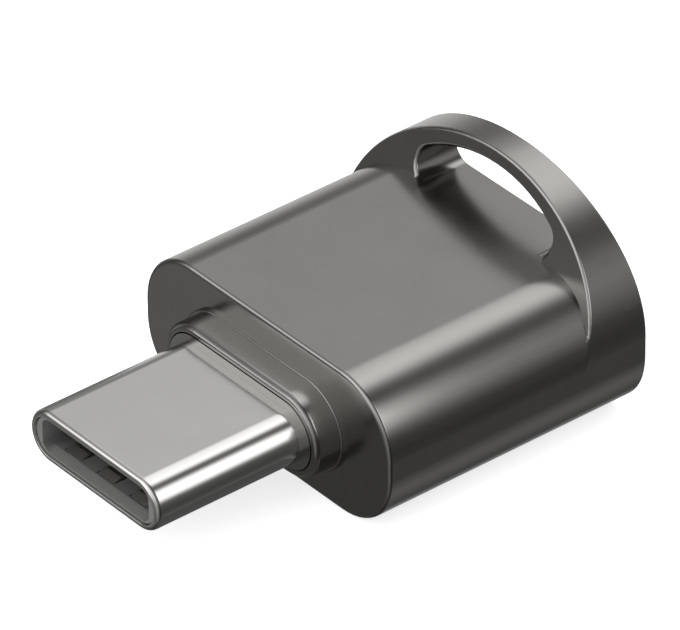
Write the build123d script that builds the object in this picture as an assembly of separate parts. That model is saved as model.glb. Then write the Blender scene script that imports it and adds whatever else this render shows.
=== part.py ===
from build123d import *
import os
from math import cos, radians, sin, tan

# A pocket memory card reader: a die-cast case with a keyring loop, a plug in front and a card slot behind.
# Millimetres. +Y runs from the plug's mouth to the rear face, +X to the right, +Z up.
# The origin is the middle of the overall box, on the flat bottom. The case is sized from the inside out.

# Plug, by its standard outside size
PLUG_WIDTH = 8.25
PLUG_HEIGHT = 2.40
PLUG_REACH = 8.83           # from the plug's mouth to the front face of the case
SHELL_WALL = 0.30
MOUTH_ROUND = 0.25          # outer rounding of the shell's lip
MOUTH_BEVEL = 0.04          # inner bevel of the lip
LEG_LENGTH = 1.27           # side legs of the shell, soldered in notches of the board
LEG_HEIGHT = 0.76
LEG_INSET = 0.45            # how far the legs reach in from the plug's widest point
NOTCH_GAP = 0.10

# Inside of the plug
PLUG_FIT = 0.02             # moulded pieces in the shell
INSULATOR_RECESS = 0.12     # from the mouth to the insulator's front
INSULATOR_LENGTH = 6.08
MOUTH_CAVITY_WIDTH = 6.84
MOUTH_CAVITY_HEIGHT = 1.24
MOUTH_CAVITY_DEPTH = 3.03
MOUTH_CAVITY_CORNER = 0.20
LEAD_IN_RISE = 0.18         # how far the cavity opens up and down at its front
LEAD_IN_RUN = 0.40
LEAD_IN_CORNER = 0.50
TONGUE_SLOT_HEIGHT = 0.86
INSULATOR_BACK = 0.40       # wall behind the tongue slot
BLOCK_GAP = 0.05            # between insulator and rear block
BLOCK_TAIL = 1.00           # how far the rear block reaches past the front face of the case

# Plug contacts
CONTACT_COUNT = 12
CONTACT_PITCH = 0.50
CONTACT_WIDTH = 0.25
CONTACT_SHEET = 0.12
CONTACT_GAP = 0.03          # round each contact in the plastic
CONTACT_BEAM = 0.62         # height of the beams over the plug's axis
CONTACT_BUMP = 0.38         # height of the contact points over the axis
CONTACT_TIP = 0.50
CONTACT_TIP_RUN = 0.35      # from a tip to its contact point
CONTACT_RISE_RUN = 0.85     # from the contact point to the straight beam
CONTACT_START = 0.25        # from the tongue slot's start to the tips
TAIL_BEND = 0.10            # straight past the rear block
TAIL_RAMP = 0.60
TAIL_FOOT = 0.85

# Latch plate and ground springs
LATCH_SHEET = 0.20
LATCH_ARM = 0.20
LATCH_ARM_GAP = 0.06        # between the tongue slot's side and the arms
LATCH_REACH = 1.50          # from the insulator's front to the arms' tips
LATCH_HOOK = 0.24
LATCH_HOOK_LENGTH = 0.45
LATCH_CHANNEL = 0.50        # height of the arms' channels
LATCH_GAP = 0.02
LATCH_BAR = 2.40            # length of the plate that joins the arms
LATCH_BAR_BACK = 0.40       # plastic left behind the plate
SPRING_SHEET = 0.10
SPRING_RECESS = 0.12
SPRING_BAR_WIDTH = 5.80
SPRING_BAR_LENGTH = 0.80
SPRING_BAR_BACK = 0.70      # from the cavity's end forward to the bar
SPRING_PADS = 3
SPRING_PITCH = 2.07
SPRING_PAD_WIDTH = 1.00
SPRING_PAD_RUN = 0.60
SPRING_PAD_TIP = 0.40
SPRING_PAD_DIP = 0.24
SPRING_TIP_DIP = 0.12
SPRING_GAP = 0.05

# Memory card and its socket
CARD_WIDTH = 11.00
CARD_SPACE = 0.90           # height left for the card
CARD_DEPTH = 11.83          # how far a card goes in from the rear face
CARD_SIDE_GAP = 0.05
GUIDE_WALL = 0.35
SOCKET_SHEET = 0.15
SHEET_GAP = 0.02
SHEET_BEND = 0.12
BASE_PLATE = 0.45
BASE_START = 0.20           # from the ends of the plug's contact feet to the base
STOP_WIDTH = 9.60
STOP_HEIGHT = 0.90
SHIELD_WINDOW_WIDTH = 2.40
SHIELD_WINDOW_LENGTH = 3.00
SHIELD_WINDOW_PLACE = 2.60
PAD_COUNT = 8
PAD_PITCH = 1.10
PAD_WIDTH = 0.50
PAD_SHEET = 0.12
PAD_SLOT_GAP = 0.10
PAD_START = 0.50            # from the base's front to the contact tips
PAD_TIP_RUN = 0.50
PAD_BEAM_RUN = 2.40
PAD_TAIL_RAMP = 0.80
PAD_FOOT = 0.80
PAD_BUMP = 0.26             # how far the contact points reach into the card space
PAD_TIP_HEIGHT = 0.08
PAD_ROOT_HEIGHT = 0.18
DETECT_WIDTH = 0.50
DETECT_PLACE = 5.00
DETECT_FOOT = 0.35
DETECT_RUN = 0.15
DETECT_REACH = 0.75
DETECT_GAP = 0.10           # in front of the base

# Circuit board and what stands on it
BOARD = 0.80
BOARD_GAP = 0.04            # in the grooves of the case
BOARD_SIDE_GAP = 0.08
BOARD_FRONT_GAP = 0.17      # behind the seal's flange
BOARD_END_GAP = 0.10
GROOVE_DEPTH = 0.45
STANDOFF = 0.10             # under the moulded chips
CHIP_WIDTH = 3.90
CHIP_LENGTH = 4.90
CHIP_HEIGHT = 1.25
CHIP_GAP = 0.90             # behind the feet of the plug's contacts
CHIP_EDGE = 0.12
DIMPLE_RADIUS = 0.30
DIMPLE_DEPTH = 0.06
DIMPLE_INSET = 0.75
LEADS_A_SIDE = 8
LEAD_PITCH = 0.60
LEAD_WIDTH = 0.28
LEAD_SHEET = 0.15
LEAD_HEIGHT = 0.70
LEAD_OUT = 0.28
LEAD_FALL = 0.15
LEAD_FOOT = 0.55
LANE_GAP = 0.60             # between the controller's leads and the side lanes of small parts
CRYSTAL_WIDTH = 2.40
CRYSTAL_LENGTH = 3.20
CRYSTAL_BASE = 0.30
CRYSTAL_LID = 0.45
CRYSTAL_RIM = 0.15
CRYSTAL_CORNER = 0.30
REAR_ROW_GAP = 0.30         # behind the controller, to the crystal and the regulator
SIDE_CLEARANCE = 0.16       # beside the bezel's arms
REGULATOR_WIDTH = 1.30
REGULATOR_LENGTH = 2.90
REGULATOR_HEIGHT = 1.00
REGULATOR_PITCH = 0.95
OUTER_LEAD_COUNT = 3
INNER_LEAD_COUNT = 2
REGULATOR_LEAD_WIDTH = 0.40
REGULATOR_LEAD_HEIGHT = 0.60
REGULATOR_LEAD_OUT = 0.15
REGULATOR_LEAD_FALL = 0.10
REGULATOR_LEAD_FOOT = 0.30
FIRST_STEP = 2.20           # from the board's front to the first small part
LANE_STEP = 1.15
CAPACITOR_HEIGHT = 0.80
CAPACITOR_STEPS = (0, 1)
RESISTOR_HEIGHT = 0.45
RESISTOR_STEPS = (2, 3)
SMALL_PART_LENGTH = 1.60
SMALL_PART_WIDTH = 0.80
END_CAP = 0.30
END_CAP_PROUD = 0.02

# Case walls
FLOOR_WALL = 0.95
ROOF_WALL = 0.95
SIDE_WALL = 1.47
FRONT_WALL = 0.90
CASE_GAP = 0.25             # beside the card socket
HEADROOM = 0.70             # over the tallest chip
RIB_HEIGHT = 0.50
RIB_WIDTH = 0.60
RIB_PLACE = 4.00
SEAT_GAP = 0.05             # over the ribs
CAVITY_CORNER = 0.90
BODY_CORNER = 3.00
FRONT_EDGE = 0.20
REAR_BEVEL = 0.14

# Collar round the plug, and the plastic seal in it
COLLAR_REACH = 1.37
COLLAR_LIP = 0.40
COLLAR_BEVEL = 0.24
COLLAR_INNER_BEVEL = 0.06
BEAD_PROUD = 0.14
BEAD_LENGTH = 0.22
BEAD_BEVEL = 0.07
SEAL_WALL = 0.40            # between the plug's shell and the collar
SEAL_FIT = 0.02
SEAL_RECESS = 0.12
SEAL_FLANGE = 0.40
SEAL_FLANGE_PROUD = 0.50
FLANGE_GAP = 0.03
STOP_GAP = 0.27             # from the seal's flange to the socket's end stop

# Keyring loop
LOOP_RISE = 3.00            # over the flat top
LOOP_SHOULDER = 0.23        # straight side over the case's own side
LOOP_DEPTH = 2.47           # along Y, at the flat top
LOOP_LEAN = 18.7            # degrees that the front of the loop leans back
LOOP_BAND = 0.66            # crown of the loop over the window
LOOP_SIDE_BAND = 1.29
LOOP_BEVEL = 0.14
WINDOW_WIDTH = 8.32
WINDOW_TOP_CORNER = 0.60
WINDOW_LOW_CORNER = 0.72
WINDOW_BEVEL = 0.18

# Rear bezel with the card slot
BEZEL = 1.00
BEZEL_STEP = 0.20
BEZEL_SIDE_STEP = 0.05
BEZEL_CORNER = 1.50
BEZEL_GAP = 0.04
SLOT_SIDE_GAP = 0.25
SLOT_GAP = 0.10
SLOT_CORNER = 0.20
SLOT_BEVEL = 0.25
ARM_LENGTH = 2.20
ARM_SHEET = 0.55
ARM_HEIGHT = 0.90
ARM_LIFT = 0.25             # over the board
ARM_GAP = 0.06
HOOK_PROUD = 0.26
HOOK_LENGTH = 0.50
HOOK_GAP = 0.08

# Heights, from the flat bottom
rib_top = FLOOR_WALL + RIB_HEIGHT
shield_low = rib_top + SEAT_GAP
shield_top = shield_low + SOCKET_SHEET
base_low = shield_top + CARD_SPACE
board_low = base_low + BASE_PLATE
axis = board_low + BOARD / 2
board_top = board_low + BOARD
roof = board_top + STANDOFF + CHIP_HEIGHT + HEADROOM
body_height = roof + ROOF_WALL

# Half widths, from the middle
card_half = CARD_WIDTH / 2 + CARD_SIDE_GAP
base_half = card_half + GUIDE_WALL
shield_half = base_half + SHEET_GAP + SOCKET_SHEET
cavity_half = shield_half + CASE_GAP
groove_half = cavity_half + GROOVE_DEPTH
body_half = cavity_half + SIDE_WALL

# Places along Y
seal_end_depth = FRONT_WALL + FLANGE_GAP + SEAL_FLANGE
stop_depth = seal_end_depth + STOP_GAP
body_length = stop_depth + SOCKET_SHEET + CARD_DEPTH
front = (PLUG_REACH - body_length) / 2
rear = front + body_length
mouth = front - PLUG_REACH
cavity_front = front + FRONT_WALL
seal_end = front + seal_end_depth
stop_front = front + stop_depth
board_front = seal_end + BOARD_FRONT_GAP
bezel_front = rear - BEZEL
board_end = bezel_front - BOARD_END_GAP
insulator_front = mouth + INSULATOR_RECESS
insulator_end = insulator_front + INSULATOR_LENGTH
tongue_start = insulator_front + MOUTH_CAVITY_DEPTH
block_front = insulator_end + BLOCK_GAP
block_end = front + BLOCK_TAIL
foot_end = board_front + TAIL_BEND + TAIL_FOOT
base_front = foot_end + BASE_START
chip_place = foot_end + CHIP_GAP + CHIP_LENGTH / 2
rear_row = chip_place + CHIP_LENGTH / 2 + REAR_ROW_GAP

# Widths inside the plug
moulding_half_height = PLUG_HEIGHT / 2 - SHELL_WALL - PLUG_FIT
arm_inner = MOUTH_CAVITY_WIDTH / 2 + LATCH_ARM_GAP
arm_outer = arm_inner + LATCH_ARM


def facing_y(place):
    """Plane across Y, with X to the right and Z up."""
    return Plane(origin=(0, place, 0), x_dir=(1, 0, 0), z_dir=(0, -1, 0))


def along_y(profile, start, end):
    """Solid from an X-Z profile, between two places along Y."""
    return extrude(facing_y(start) * profile, amount=start - end)


def along_x(profile, middle, width):
    """Solid from a Y-Z profile, spread evenly about a place along X."""
    return extrude(Plane.YZ.offset(middle - width / 2) * profile, amount=width)


def along_z(profile, low, high):
    """Solid from an X-Y profile, between two heights."""
    return extrude(Plane.XY.offset(low) * profile, amount=high - low)


def span(low, high):
    """Box between two corners."""
    size = [b - a for a, b in zip(low, high)]
    middle = [(a + b) / 2 for a, b in zip(low, high)]
    return Pos(*middle) * Box(*size)


def stadium(grow=0.0):
    """Full-round profile of the plug, grown all round."""
    return Pos(0, axis) * SlotOverall(PLUG_WIDTH + 2 * grow, PLUG_HEIGHT + 2 * grow)


NEARLY = 0.99


def rounded(half_width, low, high, corner):
    """Rounded rectangle about X = 0, between two heights. Its corners stay a little under full rounds."""
    corner = min(corner, NEARLY * (high - low) / 2, NEARLY * half_width)
    return Pos(0, (low + high) / 2) * RectangleRounded(2 * half_width, high - low, corner)


def strip(points, thickness):
    """Side view of a bent strip of sheet metal that follows the points."""
    return trace(Polyline(*points), thickness)


def row(count, pitch):
    """Evenly spaced places about zero."""
    return [pitch * (i - (count - 1) / 2) for i in range(count)]


def flipped(shape):
    """Copy turned half a turn about the plug's axis."""
    return Pos(0, 0, axis) * Rot(0, 180, 0) * Pos(0, 0, -axis) * shape


EDGE_SAMPLES = (0, 0.37, 0.71, 1)  # shares of an edge's length


def edges_on(shape, plane_point, normal, tolerance=1e-4):
    """Edges of a shape that lie in a plane."""
    point, direction = Vector(*plane_point), Vector(*normal).normalized()

    def in_plane(edge):
        return all(abs((edge @ t - point).dot(direction)) < tolerance for t in EDGE_SAMPLES)

    return shape.edges().filter_by(in_plane)


# Die-cast case: body, loop, collar and the pocket for the board
spring_line = body_height - BODY_CORNER + LOOP_SHOULDER
crown = body_height + LOOP_RISE
loop_point = (0, rear - LOOP_DEPTH, body_height)
lean_normal = (0, cos(radians(LOOP_LEAN)), -sin(radians(LOOP_LEAN)))


def loop_blank():
    """Half-elliptic loop with a leaning front, before it grows into the body."""
    ellipse = Pos(0, spring_line) * Ellipse(body_half, crown - spring_line)
    upper = Pos(0, (spring_line + crown) / 2) * Rectangle(2 * body_half, crown - spring_line)
    shoulder = Pos(0, (axis + spring_line) / 2) * Rectangle(2 * body_half, spring_line - axis)
    start = rear - LOOP_DEPTH - (body_height - axis) * tan(radians(LOOP_LEAN)) - LOOP_DEPTH
    blank = along_y(ellipse & upper, start, rear) + along_y(shoulder, start, rear)
    leaning = Plane(origin=loop_point, x_dir=(1, 0, 0), z_dir=lean_normal)
    blank = split(blank, bisect_by=leaning, keep=Keep.TOP)
    outer = edges_on(blank, loop_point, lean_normal).filter_by(lambda e: (e @ 0.5).Z > axis + LOOP_BEVEL)
    return chamfer(outer, LOOP_BEVEL)


def window_profile():
    """Keyring window: flat sill on the body's top, curved head under the crown."""
    head = Pos(0, spring_line) * Ellipse(body_half - LOOP_SIDE_BAND, crown - LOOP_BAND - spring_line)
    frame = Pos(0, (body_height + crown) / 2) * Rectangle(WINDOW_WIDTH, crown - body_height)
    opening = head & frame
    corners = opening.vertices().sort_by(Axis.Y)
    opening = fillet(corners[-2:], WINDOW_TOP_CORNER)
    return fillet(opening.vertices().sort_by(Axis.Y)[:2], WINDOW_LOW_CORNER)


def collar():
    """Stepped full-round collar, filled; the plug's way is cut later."""
    grow = SEAL_WALL + COLLAR_LIP
    lip = front - COLLAR_REACH
    sleeve = along_y(stadium(grow), lip, cavity_front)
    sleeve = chamfer(edges_on(sleeve, (0, lip, 0), (0, 1, 0)), COLLAR_BEVEL)
    bead = along_y(stadium(grow + BEAD_PROUD), front - BEAD_LENGTH, cavity_front)
    bead = chamfer(edges_on(bead, (0, front - BEAD_LENGTH, 0), (0, 1, 0)), BEAD_BEVEL)
    return sleeve + bead


def pocket():
    """Inside of the case: cavity, board grooves, bezel seat and catch pockets."""
    hollow = along_y(rounded(cavity_half, FLOOR_WALL, roof, CAVITY_CORNER), cavity_front, rear)
    grooves = span((-groove_half, board_front - BOARD_GAP, board_low - BOARD_GAP),
                   (groove_half, rear, board_top + BOARD_GAP))
    seat = along_y(bezel_outline(0), bezel_front, rear)
    hook_end = hook_front + HOOK_LENGTH
    catches = span((-catch_out - HOOK_GAP, hook_front - HOOK_GAP, arm_low - HOOK_GAP),
                   (catch_out + HOOK_GAP, hook_end + HOOK_GAP, arm_low + ARM_HEIGHT + HOOK_GAP))
    return hollow + grooves + seat + catches


def make_housing():
    outline = rounded(body_half, 0, body_height, BODY_CORNER)
    body = along_y(outline, front, rear)
    body = fillet(edges_on(body, (0, front, 0), (0, 1, 0)), FRONT_EDGE)
    loop = loop_blank() - along_y(window_profile(), front, rear)
    inner = edges_on(loop, loop_point, lean_normal)
    inner = inner.filter_by(lambda e: abs((e @ 0.5).X) < WINDOW_WIDTH / 2 + WINDOW_BEVEL)
    inner = inner.filter_by(lambda e: (e @ 0.5).Z < crown - LOOP_BAND + WINDOW_BEVEL)
    inner = inner.filter_by(lambda e: (e @ 0.5).Z > body_height - WINDOW_BEVEL)
    loop = chamfer(inner, WINDOW_BEVEL)
    case = body + loop
    case = chamfer(edges_on(case, (0, rear, 0), (0, 1, 0)), REAR_BEVEL)
    case = case + collar() - pocket()
    for side in (-1, 1):
        case += span((side * RIB_PLACE - RIB_WIDTH / 2, stop_front, FLOOR_WALL),
                     (side * RIB_PLACE + RIB_WIDTH / 2, board_end, rib_top))
    case -= along_y(stadium(SEAL_WALL), front - COLLAR_REACH, cavity_front)
    way = edges_on(case, (0, front - COLLAR_REACH, 0), (0, 1, 0))
    way = way.filter_by(lambda e: abs((e @ 0.5).Z - axis) < PLUG_HEIGHT / 2 + SEAL_WALL + COLLAR_INNER_BEVEL)
    return chamfer(way, COLLAR_INNER_BEVEL)


# Rear bezel, snapped into its seat
arm_outer_side = cavity_half - ARM_GAP
arm_inner_side = arm_outer_side - ARM_SHEET
arm_low = board_top + ARM_LIFT
hook_front = bezel_front - ARM_LENGTH
catch_out = arm_outer_side + HOOK_PROUD
slot_low = shield_top - SLOT_GAP
slot_high = base_low + SLOT_GAP


def bezel_outline(gap):
    """Outline of the bezel's seat, shrunk by a gap."""
    half = groove_half + BEZEL_SIDE_STEP - gap
    return rounded(half, FLOOR_WALL - BEZEL_STEP + gap, roof + BEZEL_STEP - gap, BEZEL_CORNER)


def make_rear_bezel():
    plate = along_y(bezel_outline(BEZEL_GAP), bezel_front, rear)
    slot = rounded(card_half - CARD_SIDE_GAP + SLOT_SIDE_GAP, slot_low, slot_high, SLOT_CORNER)
    plate -= along_y(slot, bezel_front, rear)
    rim = edges_on(plate, (0, rear, 0), (0, 1, 0))
    rim = rim.filter_by(lambda e: slot_low - SLOT_GAP < (e @ 0.5).Z < slot_high + SLOT_GAP)
    rim = rim.filter_by(lambda e: abs((e @ 0.5).X) < card_half + SLOT_SIDE_GAP)
    plate = chamfer(rim, SLOT_BEVEL)
    for side in (-1, 1):
        inner, outer = sorted((side * arm_inner_side, side * arm_outer_side))
        plate += span((inner, hook_front, arm_low), (outer, bezel_front, arm_low + ARM_HEIGHT))
        nose = Polyline((side * arm_outer_side, hook_front), (side * catch_out, hook_front + HOOK_LENGTH),
                        (side * arm_outer_side, hook_front + HOOK_LENGTH), close=True)
        plate += along_z(make_face(nose), arm_low, arm_low + ARM_HEIGHT)
    return plate


# Plug
def make_plug_seal():
    tube = along_y(stadium(SEAL_WALL - SEAL_FIT), front - COLLAR_REACH + SEAL_RECESS, seal_end)
    flange = along_y(stadium(SEAL_WALL + SEAL_FLANGE_PROUD), cavity_front + FLANGE_GAP, seal_end)
    return tube + flange - along_y(stadium(SEAL_FIT), front - COLLAR_REACH, seal_end)


def make_plug_shell():
    tube = along_y(stadium(), mouth, seal_end)
    tube = fillet(edges_on(tube, (0, mouth, 0), (0, 1, 0)), MOUTH_ROUND)
    tube -= along_y(stadium(-SHELL_WALL), mouth, seal_end)
    lip = edges_on(tube, (0, mouth, 0), (0, 1, 0))
    lip = lip.filter_by(lambda e: abs((e @ 0.5).Z - axis) < PLUG_HEIGHT / 2 - SHELL_WALL + MOUTH_BEVEL)
    lip = lip.filter_by(lambda e: abs((e @ 0.5).X) < PLUG_WIDTH / 2 - SHELL_WALL + MOUTH_BEVEL)
    tube = chamfer(lip, MOUTH_BEVEL)
    ring = along_y(stadium() - stadium(-SHELL_WALL), seal_end, seal_end + LEG_LENGTH)
    for side in (-1, 1):
        inner, outer = sorted((side * (PLUG_WIDTH / 2 - LEG_INSET), side * PLUG_WIDTH / 2))
        window = span((inner, seal_end, axis - LEG_HEIGHT / 2),
                      (outer, seal_end + LEG_LENGTH, axis + LEG_HEIGHT / 2))
        tube += ring & window
    return tube


def contact_places():
    return row(CONTACT_COUNT, CONTACT_PITCH)


beam_low = axis + CONTACT_BEAM - CONTACT_SHEET / 2 - CONTACT_GAP
beam_high = axis + CONTACT_BEAM + CONTACT_SHEET / 2 + CONTACT_GAP
row_half = contact_places()[-1] + CONTACT_WIDTH / 2 + CONTACT_GAP


def make_plug_insulator():
    body = along_y(stadium(-SHELL_WALL - PLUG_FIT), insulator_front, insulator_end)
    cavity = Pos(0, axis) * RectangleRounded(MOUTH_CAVITY_WIDTH, MOUTH_CAVITY_HEIGHT, MOUTH_CAVITY_CORNER)
    body -= along_y(cavity, insulator_front, tongue_start)
    opening = RectangleRounded(MOUTH_CAVITY_WIDTH, MOUTH_CAVITY_HEIGHT + 2 * LEAD_IN_RISE, LEAD_IN_CORNER)
    body -= loft([facing_y(insulator_front) * Pos(0, axis) * opening,
                  facing_y(insulator_front + LEAD_IN_RUN) * cavity], ruled=True)
    tongue = Pos(0, axis) * Rectangle(MOUTH_CAVITY_WIDTH, TONGUE_SLOT_HEIGHT)
    body -= along_y(tongue, tongue_start, insulator_end - INSULATOR_BACK)
    low, high = axis - LATCH_CHANNEL / 2, axis + LATCH_CHANNEL / 2
    tip = insulator_front + LATCH_REACH - LATCH_GAP
    hook_end = tip + LATCH_HOOK_LENGTH + 2 * LATCH_GAP
    for side in (-1, 1):
        inner, outer = sorted((side * (arm_inner - LATCH_GAP), side * PLUG_WIDTH / 2))
        body -= span((inner, tip, low), (outer, insulator_end, high))
        inner, outer = sorted((side * (arm_inner - LATCH_HOOK), side * arm_outer))
        body -= span((inner, tip, low), (outer, hook_end, high))
    wall = insulator_end - INSULATOR_BACK
    upper = [span((-row_half, tongue_start, axis), (row_half, wall, beam_high)),
             span((-row_half, wall, beam_low), (row_half, insulator_end, beam_high))]
    seat = span((-SPRING_BAR_WIDTH / 2 - SPRING_GAP, spring_front - SPRING_GAP, axis + spring_seat),
                (SPRING_BAR_WIDTH / 2 + SPRING_GAP, tongue_start, axis + PLUG_HEIGHT / 2))
    upper.append(seat)
    half = SPRING_PAD_WIDTH / 2 + SPRING_GAP
    for x in row(SPRING_PADS, SPRING_PITCH):
        upper.append(span((x - half, spring_front - SPRING_GAP, axis),
                          (x + half, bar_front + SPRING_GAP, axis + PLUG_HEIGHT / 2)))
    return body - upper - [flipped(cut) for cut in upper]


spring_seat = moulding_half_height - SPRING_RECESS
bar_end = tongue_start - SPRING_BAR_BACK
bar_front = bar_end - SPRING_BAR_LENGTH
spring_front = bar_front - SPRING_PAD_RUN - SPRING_PAD_TIP


def make_ground_spring():
    """Upper ground spring: a bar over the insulator with three bent pads."""
    middle = axis + spring_seat + SPRING_SHEET / 2
    bar = span((-SPRING_BAR_WIDTH / 2, bar_front, middle - SPRING_SHEET / 2),
               (SPRING_BAR_WIDTH / 2, bar_end, middle + SPRING_SHEET / 2))
    pad = strip([(bar_end, middle), (bar_front, middle),
                 (bar_front - SPRING_PAD_RUN, middle - SPRING_PAD_DIP),
                 (spring_front, middle - SPRING_TIP_DIP)], SPRING_SHEET)
    for x in row(SPRING_PADS, SPRING_PITCH):
        bar += along_x(pad, x, SPRING_PAD_WIDTH)
    return bar


def make_plug_rear_block():
    body = along_y(stadium(-SHELL_WALL - PLUG_FIT), block_front, block_end)
    half = CONTACT_WIDTH / 2 + CONTACT_GAP
    places = contact_places()
    ways = [span((x - half, block_front, beam_low), (x + half, block_end, beam_high)) for x in places]
    body = body - ways - [flipped(way) for way in ways]
    plate_half = LATCH_SHEET / 2 + LATCH_GAP
    plate_end = block_end - LATCH_BAR_BACK + LATCH_GAP
    return body - span((-arm_outer - LATCH_GAP, block_front, axis - plate_half),
                       (arm_outer + LATCH_GAP, plate_end, axis + plate_half))


def make_plug_contacts():
    """Upper row of contacts: tips in the mouth, feet on the board."""
    tip = tongue_start + CONTACT_START
    bump = tip + CONTACT_TIP_RUN
    foot = axis + BOARD / 2 + CONTACT_SHEET / 2
    side = strip([(tip, axis + CONTACT_TIP), (bump, axis + CONTACT_BUMP),
                  (bump + CONTACT_RISE_RUN, axis + CONTACT_BEAM),
                  (block_end + TAIL_BEND, axis + CONTACT_BEAM),
                  (block_end + TAIL_BEND + TAIL_RAMP, foot), (foot_end, foot)], CONTACT_SHEET)
    return [along_x(side, x, CONTACT_WIDTH) for x in contact_places()]


def make_plug_latch():
    tip = insulator_front + LATCH_REACH
    end = block_end - LATCH_BAR_BACK
    sheet = Pos(0, end - LATCH_BAR / 2) * Rectangle(2 * arm_outer, LATCH_BAR)
    for side in (-1, 1):
        middle = side * (arm_inner + arm_outer) / 2
        sheet += Pos(middle, (tip + end) / 2) * Rectangle(LATCH_ARM, end - tip)
        point = side * (arm_inner - LATCH_HOOK)
        nose = Polyline((side * arm_inner, tip), (point, tip + LATCH_HOOK_LENGTH / 2),
                        (side * arm_inner, tip + LATCH_HOOK_LENGTH), close=True)
        sheet += make_face(nose)
    return along_z(sheet, axis - LATCH_SHEET / 2, axis + LATCH_SHEET / 2)


# Circuit board and its parts
def make_circuit_board():
    half = groove_half - BOARD_SIDE_GAP
    board = span((-half, board_front, board_low), (half, board_end, board_top))
    for side in (-1, 1):
        near, far = PLUG_WIDTH / 2 - LEG_INSET - NOTCH_GAP, PLUG_WIDTH / 2 + NOTCH_GAP
        inner, outer = sorted((side * near, side * far))
        leg_end = seal_end + LEG_LENGTH
        board -= span((inner, board_front, board_low), (outer, leg_end + NOTCH_GAP, board_top))
    return board


def moulded_chip(width, length, height):
    """Moulded chip package with eased edges, standing off the board, about X = Y = 0."""
    low = board_top + STANDOFF
    package = span((-width / 2, -length / 2, low), (width / 2, length / 2, low + height))
    top = edges_on(package, (0, 0, low + height), (0, 0, 1))
    return chamfer(top, CHIP_EDGE)


def gull_lead(start, height, out, fall, length, width):
    """One gull-wing lead on the +X side, from a package side down to its foot on the board."""
    foot = board_top + LEAD_SHEET / 2
    drop = start + out
    side = strip([(start, board_top + height), (drop, board_top + height), (drop + fall, foot),
                  (drop + fall + length, foot)], LEAD_SHEET)
    plane = Plane(origin=(0, width / 2, 0), x_dir=(1, 0, 0), z_dir=(0, -1, 0))
    return extrude(plane * side, amount=width)


def make_controller_chip():
    chip = moulded_chip(CHIP_WIDTH, CHIP_LENGTH, CHIP_HEIGHT)
    top = board_top + STANDOFF + CHIP_HEIGHT
    mark = Pos(-CHIP_WIDTH / 2 + DIMPLE_INSET, -CHIP_LENGTH / 2 + DIMPLE_INSET) * Circle(DIMPLE_RADIUS)
    return Pos(0, chip_place, 0) * (chip - along_z(mark, top - DIMPLE_DEPTH, top))


def make_controller_leads():
    lead = gull_lead(CHIP_WIDTH / 2, LEAD_HEIGHT, LEAD_OUT, LEAD_FALL, LEAD_FOOT, LEAD_WIDTH)
    right = [Pos(0, chip_place + y, 0) * lead for y in row(LEADS_A_SIDE, LEAD_PITCH)]
    left = [Pos(0, chip_place + y, 0) * Rot(0, 0, 180) * lead for y in row(LEADS_A_SIDE, LEAD_PITCH)]
    return right + left


crystal_x = -(arm_inner_side - SIDE_CLEARANCE - CRYSTAL_WIDTH / 2)
crystal_y = rear_row + CRYSTAL_LENGTH / 2


def make_crystal_base():
    plan = Pos(crystal_x, crystal_y) * Rectangle(CRYSTAL_WIDTH, CRYSTAL_LENGTH)
    return along_z(plan, board_top, board_top + CRYSTAL_BASE)


def make_crystal_lid():
    width, length = CRYSTAL_WIDTH - 2 * CRYSTAL_RIM, CRYSTAL_LENGTH - 2 * CRYSTAL_RIM
    plan = RectangleRounded(width, length, CRYSTAL_CORNER)
    low = board_top + CRYSTAL_BASE
    return along_z(Pos(crystal_x, crystal_y) * plan, low, low + CRYSTAL_LID)


regulator_reach = REGULATOR_WIDTH / 2 + REGULATOR_LEAD_OUT + REGULATOR_LEAD_FALL + REGULATOR_LEAD_FOOT
regulator_place = Pos(arm_inner_side - SIDE_CLEARANCE - regulator_reach, rear_row + REGULATOR_LENGTH / 2)


def make_regulator_body():
    return regulator_place * moulded_chip(REGULATOR_WIDTH, REGULATOR_LENGTH, REGULATOR_HEIGHT)


def make_regulator_leads():
    lead = gull_lead(REGULATOR_WIDTH / 2, REGULATOR_LEAD_HEIGHT, REGULATOR_LEAD_OUT, REGULATOR_LEAD_FALL,
                     REGULATOR_LEAD_FOOT, REGULATOR_LEAD_WIDTH)
    outer = row(OUTER_LEAD_COUNT, REGULATOR_PITCH)
    inner = row(INNER_LEAD_COUNT, 2 * REGULATOR_PITCH)
    leads = [Pos(0, y, 0) * lead for y in outer] + [Pos(0, y, 0) * Rot(0, 0, 180) * lead for y in inner]
    return [regulator_place * lead for lead in leads]


def chip_part(height, x, y):
    """Two-ended surface part: a block with slightly proud metal ends."""
    length, width = SMALL_PART_LENGTH, SMALL_PART_WIDTH
    top = board_top + height
    part = span((x - length / 2, y - width / 2, board_top), (x + length / 2, y + width / 2, top))
    for side in (-1, 1):
        inner, outer = sorted((x + side * (length / 2 - END_CAP), x + side * (length / 2 + END_CAP_PROUD)))
        part += span((inner, y - width / 2 - END_CAP_PROUD, board_top),
                     (outer, y + width / 2 + END_CAP_PROUD, top + END_CAP_PROUD))
    return part


def lane_parts(height, steps):
    """The same surface part in both lanes beside the controller, at given steps from the board's front."""
    chip_reach = CHIP_WIDTH / 2 + LEAD_OUT + LEAD_FALL + LEAD_FOOT
    lane = chip_reach + LANE_GAP + END_CAP_PROUD + SMALL_PART_LENGTH / 2
    places = [board_front + FIRST_STEP + step * LANE_STEP for step in steps]
    return [chip_part(height, side * lane, y) for side in (-1, 1) for y in places]


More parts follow.
